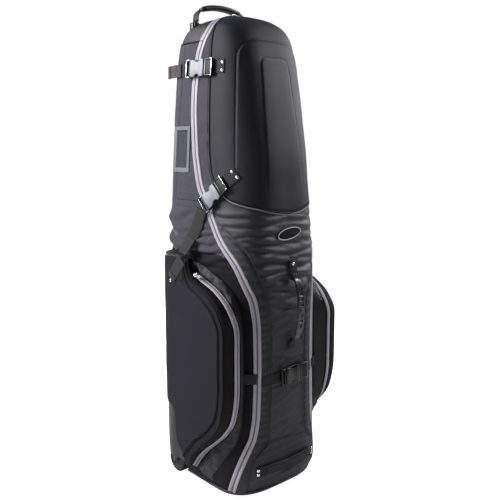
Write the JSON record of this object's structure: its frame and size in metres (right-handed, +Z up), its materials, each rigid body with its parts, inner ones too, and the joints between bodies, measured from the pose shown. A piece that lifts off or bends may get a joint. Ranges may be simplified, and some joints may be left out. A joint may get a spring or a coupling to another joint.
{
  "type": "golf travel case",
  "caption": "Upright wheeled travel case for a golf bag, with a moulded front shell, zip-open front, side pockets, straps and handles.",
  "frame": {"origin": "on the floor, under the middle of the case's bounding box", "axes": "+Z up along the length of the case, -Y towards the opening front, +X towards the right-hand pocket as seen from the front"},
  "size_m": [0.416, 0.405, 1.3384],
  "materials": {
    "binding": "woven binding",
    "black_plastic": "moulded",
    "clear_vinyl": "translucent vinyl",
    "foam": "closed-cell foam",
    "front_fabric": "woven polyester",
    "grey_plastic": "moulded",
    "pocket_fabric": "woven polyester",
    "shell_fabric": "matte laminated fabric",
    "side_fabric": "woven polyester",
    "silver_plastic": "moulded, light grey",
    "steel": "polished",
    "thread": "embroidered thread",
    "tyre_rubber": "ribbed rubber",
    "webbing": "woven webbing",
    "zip_tape": "woven zip tape"
  },
  "bodies": {
    "case": {"back_panel": "front_fabric", "back_board": "grey_plastic", "side_panel_left": "side_fabric", "side_panel_right": "side_fabric", "rear_dome": "side_fabric", "base_tub": "black_plastic", "base_pad": "foam", "front_feet": "tyre_rubber", "back_skids": "black_plastic", "corner_guard_left": "grey_plastic", "corner_guard_right": "grey_plastic", "wheel_housings": "black_plastic", "wheel_axles": "steel", "main_zip_rear": "zip_tape", "pocket_gusset_left": "front_fabric", "pocket_gusset_right": "front_fabric", "card_frame": "grey_plastic", "card_window": "clear_vinyl", "upper_straps": "webbing", "diagonal_straps": "webbing", "lower_strap_ends": "webbing", "upper_socket_left": "silver_plastic", "upper_socket_right": "silver_plastic", "diagonal_socket_left": "silver_plastic", "diagonal_socket_right": "silver_plastic", "handle_anchors": "black_plastic", "inner_straps": "webbing", "case_rivets": "steel", "pocket_sliders": "steel"},
    "door": {"front_shell": "shell_fabric", "shell_liner": "foam", "front_panel": "front_fabric", "shell_binding": "binding", "main_zip_front": "zip_tape", "strap_tabs": "webbing", "door_rivets": "steel", "grab_tabs": "webbing", "lower_strap": "webbing", "lower_socket": "black_plastic", "badge": "thread"},
    "upper_clip_left": {"upper_clip_left": "black_plastic"},
    "upper_clip_right": {"upper_clip_right": "black_plastic"},
    "diagonal_clip_left": {"diagonal_clip_left": "black_plastic"},
    "diagonal_clip_right": {"diagonal_clip_right": "black_plastic"},
    "lower_clip": {"lower_clip": "black_plastic"},
    "wheel_left": {"wheel_tyre_left": "tyre_rubber", "wheel_hub_left": "grey_plastic"},
    "wheel_right": {"wheel_tyre_right": "tyre_rubber", "wheel_hub_right": "grey_plastic"},
    "top_handle": {"top_handle": "webbing"},
    "grab_handle": {"grab_handle": "black_plastic"},
    "bottom_handle": {"bottom_handle": "webbing"},
    "pocket_left": {"pocket_flap_left": "pocket_fabric", "pocket_zip_left": "zip_tape"},
    "pocket_right": {"pocket_flap_right": "pocket_fabric", "pocket_zip_right": "zip_tape"},
    "main_slider": {"main_slider": "steel"},
    "main_pull": {"main_pull": "steel"},
    "pocket_pull_left": {"pocket_pull_left": "steel"},
    "pocket_pull_right": {"pocket_pull_right": "steel"}
  },
  "joints": [
    {"name": "door_hinge", "type": "hinge", "parent": "case", "child": "door", "pos_m": [0, -0.146, 0.021], "axis": [1, 0, 0], "range_deg": [0, 85]},
    {"name": "upper_clip_left_release", "type": "slide", "parent": "case", "child": "upper_clip_left", "axis": [0.1057, -0.9944, 0], "range_m": [0, 0.028]},
    {"name": "upper_clip_right_release", "type": "slide", "parent": "case", "child": "upper_clip_right", "axis": [-0.1057, -0.9944, 0], "range_m": [0, 0.028]},
    {"name": "diagonal_clip_left_release", "type": "slide", "parent": "case", "child": "diagonal_clip_left", "axis": [0.144, -0.7182, 0.6808], "range_m": [0, 0.028]},
    {"name": "diagonal_clip_right_release", "type": "slide", "parent": "case", "child": "diagonal_clip_right", "axis": [-0.144, -0.7182, 0.6808], "range_m": [0, 0.028]},
    {"name": "lower_clip_release", "type": "slide", "parent": "door", "child": "lower_clip", "axis": [0.9986, 0.01, 0.0523], "range_m": [0, 0.028]},
    {"name": "wheel_left_spin", "type": "hinge", "parent": "case", "child": "wheel_left", "pos_m": [-0.156, 0.13, 0.037], "axis": [1, 0, 0], "continuous": true},
    {"name": "wheel_right_spin", "type": "hinge", "parent": "case", "child": "wheel_right", "pos_m": [0.156, 0.13, 0.037], "axis": [1, 0, 0], "continuous": true},
    {"name": "top_handle_fold", "type": "hinge", "parent": "case", "child": "top_handle", "pos_m": [0, 0.118, 1.283], "axis": [1, 0, 0], "range_deg": [-60, 45]},
    {"name": "grab_handle_swing", "type": "hinge", "parent": "door", "child": "grab_handle", "pos_m": [0.012, -0.168, 0.523], "axis": [0, 0, 1], "range_deg": [-20, 20]},
    {"name": "bottom_handle_lift", "type": "hinge", "parent": "door", "child": "bottom_handle", "pos_m": [0, -0.158, 0.097], "axis": [-1, 0, 0], "range_deg": [0, 40]},
    {"name": "pocket_left_open", "type": "hinge", "parent": "case", "child": "pocket_left", "pos_m": [-0.186, 0.15, 0.34], "axis": [0, 0, -1], "range_deg": [0, 75]},
    {"name": "pocket_right_open", "type": "hinge", "parent": "case", "child": "pocket_right", "pos_m": [0.186, 0.15, 0.34], "axis": [0, 0, 1], "range_deg": [0, 75]},
    {"name": "main_slider_run", "type": "slide", "parent": "case", "child": "main_slider", "axis": [1, 0, 0], "range_m": [0, 0.038]},
    {"name": "main_pull_swing", "type": "hinge", "parent": "main_slider", "child": "main_pull", "pos_m": [-0.008, 0.025, 1.30065], "axis": [0, 1, 0], "range_deg": [0, 110]},
    {"name": "pocket_pull_left_swing", "type": "hinge", "parent": "case", "child": "pocket_pull_left", "pos_m": [-0.187, 0.002, 0.614], "axis": [0, 0, -1], "range_deg": [0, 70]},
    {"name": "pocket_pull_right_swing", "type": "hinge", "parent": "case", "child": "pocket_pull_right", "pos_m": [0.187, 0.002, 0.614], "axis": [0, 0, 1], "range_deg": [0, 70]}
  ]
}
